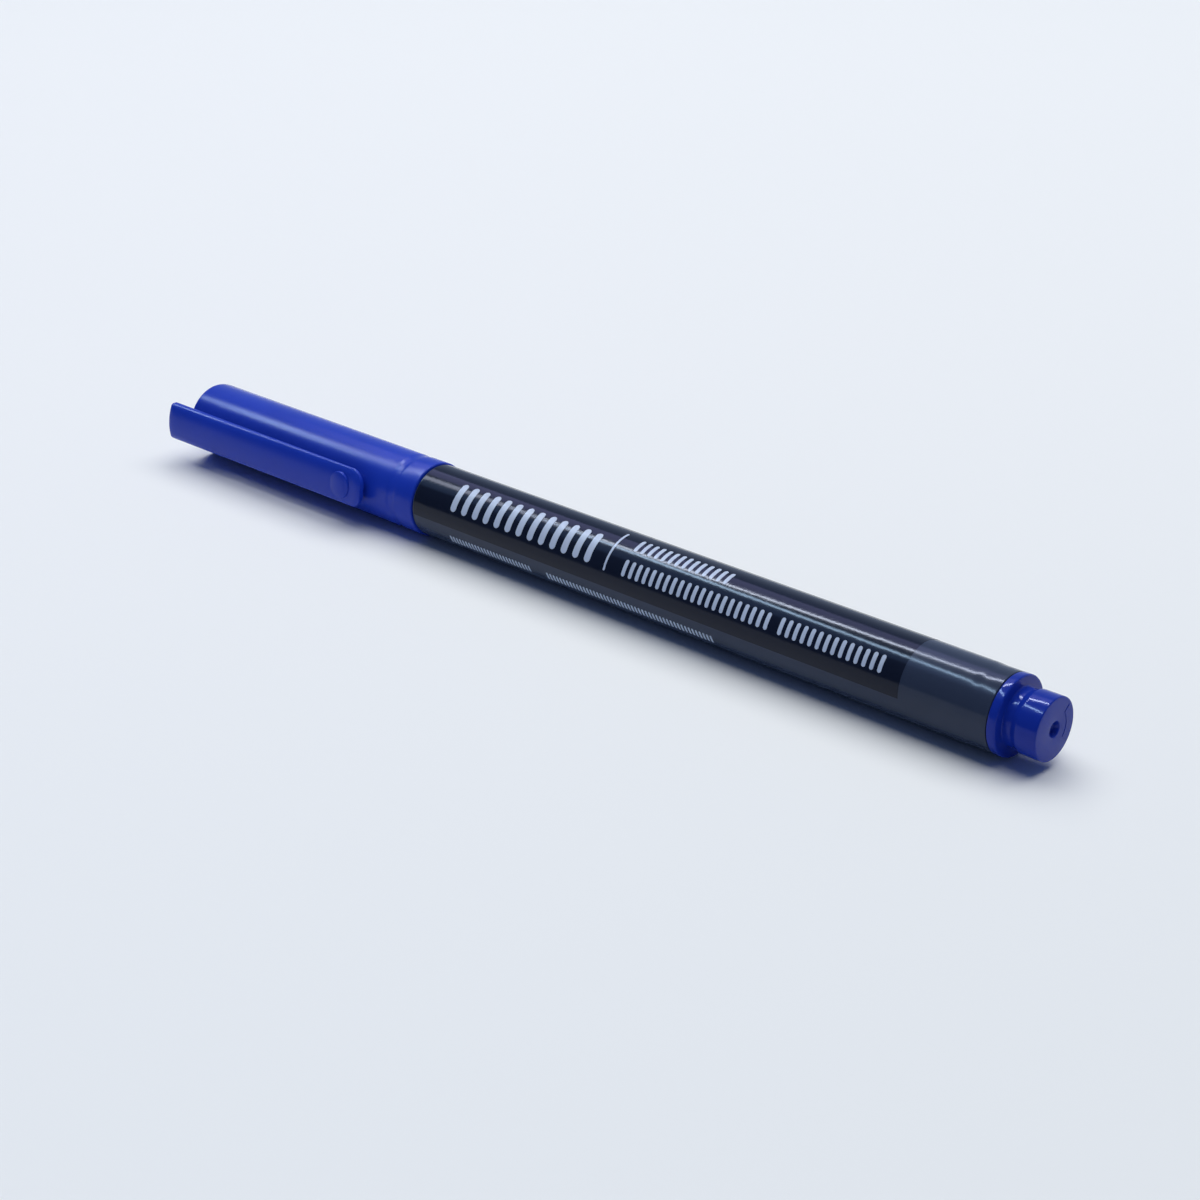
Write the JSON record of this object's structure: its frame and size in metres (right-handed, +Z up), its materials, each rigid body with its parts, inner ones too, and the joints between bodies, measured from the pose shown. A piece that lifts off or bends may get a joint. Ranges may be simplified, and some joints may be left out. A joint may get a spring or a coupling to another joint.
{
  "type": "fine-tip marker pen",
  "caption": "Slim capped marker pen: tube barrel with a printed panel, pull-off clip cap with a sealing liner, fibre nib, ink core and a stepped tail plug.",
  "frame": {"origin": "on the resting surface, under the middle of the capped pen's box", "axes": "+X along the pen's axis from the cap to the tail plug, +Z up, clip on the -Y side"},
  "size_m": [0.142, 0.0121, 0.0099],
  "materials": {
    "cap_plastic": "royal blue moulded polypropylene, semi-gloss",
    "barrel_plastic": "dark grey moulded polypropylene, glossy, with a near-black printed film",
    "nose_plastic": "black moulded polypropylene, satin",
    "liner_plastic": "natural milky polyethylene, satin",
    "nib_fibre": "bonded acrylic fibre, soaked with blue ink",
    "ink_fibre": "bundled polyester fibre, soaked with blue ink",
    "wrap_film": "thin clear polypropylene film"
  },
  "bodies": {
    "root": {"barrel": "barrel_plastic", "nose_cone": "nose_plastic", "nib": "nib_fibre", "ink_core": "ink_fibre", "core_film": "wrap_film", "tail_plug": "cap_plastic"},
    "liner": {"inner_cap": "liner_plastic"},
    "cap": {"cap_shell": "cap_plastic"},
    "clip": {"clip_arm": "cap_plastic"}
  },
  "joints": [
    {"name": "cap_pull", "type": "slide", "parent": "root", "child": "liner", "axis": [-1, 0, 0], "range_m": [0, 0.06]},
    {"name": "cap_turn", "type": "hinge", "parent": "liner", "child": "cap", "pos_m": [-0.0458, 0.0012, 0.00495], "axis": [1, 0, 0], "continuous": true},
    {"name": "clip_flex", "type": "hinge", "parent": "cap", "child": "clip", "pos_m": [-0.0634, -0.0053, 0.00575], "axis": [0, -0.1219, -0.9925], "range_deg": [0, 5], "stiffness_Nm_per_rad": 3}
  ]
}
